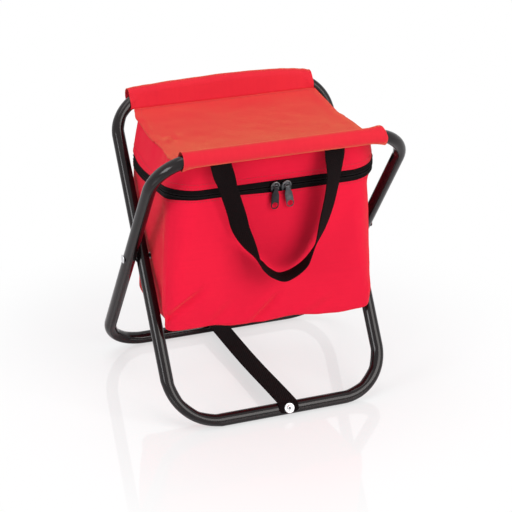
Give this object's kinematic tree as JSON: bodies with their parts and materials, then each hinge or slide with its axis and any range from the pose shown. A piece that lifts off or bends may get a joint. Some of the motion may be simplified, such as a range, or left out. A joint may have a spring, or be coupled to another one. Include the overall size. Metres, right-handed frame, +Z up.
{
  "type": "folding cooler stool",
  "caption": "Folding stool on crossed tube frames with a fabric seat, a zipped insulated bag slung under it and carrying handles.",
  "frame": {"origin": "centre of the bounding box on the floor the rails stand on", "axes": "+X along the seat rails, to the right seen from the front; -Y to the front, where the zipper pulls hang; +Z up"},
  "size_m": [0.3354, 0.2651, 0.361],
  "materials": {
    "painted_tube": "gloss",
    "bright_steel": "satin",
    "black_nylon": "matte",
    "red_fabric": "plain weave polyester",
    "black_webbing": "ribbed webbing",
    "zipper_tape": "woven tape with coil",
    "gunmetal": "satin",
    "white_foam": "closed cell foam",
    "silver_liner": "metallised film"
  },
  "bodies": {
    "seat_and_lid": {"pivot_rivet_left": "bright_steel", "pivot_rivet_right": "bright_steel", "pivot_spacer_left": "black_nylon", "pivot_spacer_right": "black_nylon", "seat_panel": "red_fabric", "lid_wall": "red_fabric", "lid_insulation": "white_foam", "lid_liner": "silver_liner", "lid_zipper_chain": "zipper_tape", "rear_hinge_strip": "red_fabric", "spread_strap": "black_webbing", "front_handle_end_left": "black_webbing", "front_handle_end_right": "black_webbing", "rear_handle_end_left": "black_webbing", "rear_handle_end_right": "black_webbing"},
    "outer_frame": {"outer_frame_floor_bow": "painted_tube", "outer_frame_left_leg": "painted_tube", "outer_frame_right_leg": "painted_tube", "outer_frame_left_bow": "painted_tube", "outer_frame_right_bow": "painted_tube", "outer_frame_splice": "painted_tube", "front_sleeve": "red_fabric", "strap_washer_rear": "bright_steel", "strap_rivet_rear": "bright_steel"},
    "inner_frame": {"inner_frame_floor_bow": "painted_tube", "inner_frame_left_leg": "painted_tube", "inner_frame_right_leg": "painted_tube", "inner_frame_left_bow": "painted_tube", "inner_frame_right_bow": "painted_tube", "inner_frame_splice": "painted_tube", "rear_sleeve": "red_fabric", "strap_washer_front": "bright_steel", "strap_rivet_front": "bright_steel"},
    "bag": {"bag_shell": "red_fabric", "bag_insulation": "white_foam", "bag_liner": "silver_liner", "bag_zipper_chain": "zipper_tape"},
    "left_slider": {"zipper_slider_left": "gunmetal"},
    "right_slider": {"zipper_slider_right": "gunmetal"},
    "left_pull": {"zipper_pull_left": "gunmetal"},
    "right_pull": {"zipper_pull_right": "gunmetal"},
    "front_loop": {"front_handle": "black_webbing"},
    "rear_loop": {"rear_handle": "black_webbing"}
  },
  "joints": [
    {"name": "outer_frame_fold", "type": "hinge", "parent": "seat_and_lid", "child": "outer_frame", "pos_m": [0, 0, 0.18506], "axis": [-1, 0, 0], "range_deg": [0, 28], "deforming": ["spread_strap"]},
    {"name": "inner_frame_fold", "type": "hinge", "parent": "seat_and_lid", "child": "inner_frame", "pos_m": [0, 0, 0.18506], "axis": [1, 0, 0], "range_deg": [0, 28]},
    {"name": "bag_opening", "type": "hinge", "parent": "seat_and_lid", "child": "bag", "pos_m": [0, 0.08, 0.2835], "axis": [1, 0, 0], "range_deg": [0, 13]},
    {"name": "left_slider_travel", "type": "slide", "parent": "seat_and_lid", "child": "left_slider", "axis": [1, 0, 0], "range_m": [-0.084, 0]},
    {"name": "right_slider_travel", "type": "slide", "parent": "seat_and_lid", "child": "right_slider", "axis": [1, 0, 0], "range_m": [0, 0.074]},
    {"name": "left_pull_swing", "type": "hinge", "parent": "left_slider", "child": "left_pull", "pos_m": [-0.003, -0.0905, 0.292], "axis": [-1, 0, 0], "range_deg": [0, 110]},
    {"name": "right_pull_swing", "type": "hinge", "parent": "right_slider", "child": "right_pull", "pos_m": [0.0113, -0.0905, 0.292], "axis": [-1, 0, 0], "range_deg": [0, 110]},
    {"name": "front_handle_lift", "type": "hinge", "parent": "seat_and_lid", "child": "front_loop", "pos_m": [0, -0.108, 0.334], "axis": [-1, 0, 0], "range_deg": [0, 65]},
    {"name": "rear_handle_lift", "type": "hinge", "parent": "seat_and_lid", "child": "rear_loop", "pos_m": [0, 0.108, 0.334], "axis": [1, 0, 0], "range_deg": [0, 65]}
  ],
  "couplings": [
    {"joint": "inner_frame_fold", "follows": "outer_frame_fold", "ratio": 1}
  ]
}
